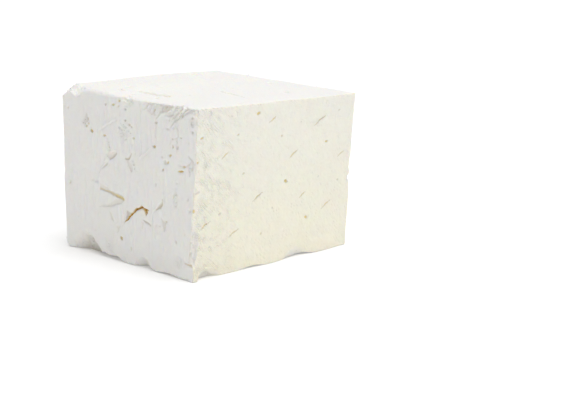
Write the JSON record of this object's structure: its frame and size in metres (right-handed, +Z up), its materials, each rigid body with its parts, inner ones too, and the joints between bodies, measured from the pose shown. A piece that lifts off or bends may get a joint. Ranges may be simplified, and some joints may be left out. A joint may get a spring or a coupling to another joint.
{
  "type": "feta block",
  "caption": "Block of white feta cheese, about two thirds of a one kilogram brick, with a freshly cut end, cracked and pitted sides and a broken corner.",
  "frame": {"origin": "centre of the underside, on the surface that the block rests on", "axes": "+Z up; +X out of the freshly cut end; -Y out of the long side that shows the cracks"},
  "size_m": [0.096, 0.0966, 0.0764],
  "materials": {
    "feta": "soft white moist cheese, matt with a slight wet sheen, creamier on the fresh cut, ochre in deep holes and cracks"
  },
  "bodies": {
    "root": {"feta_block": "feta"}
  },
  "joints": []
}
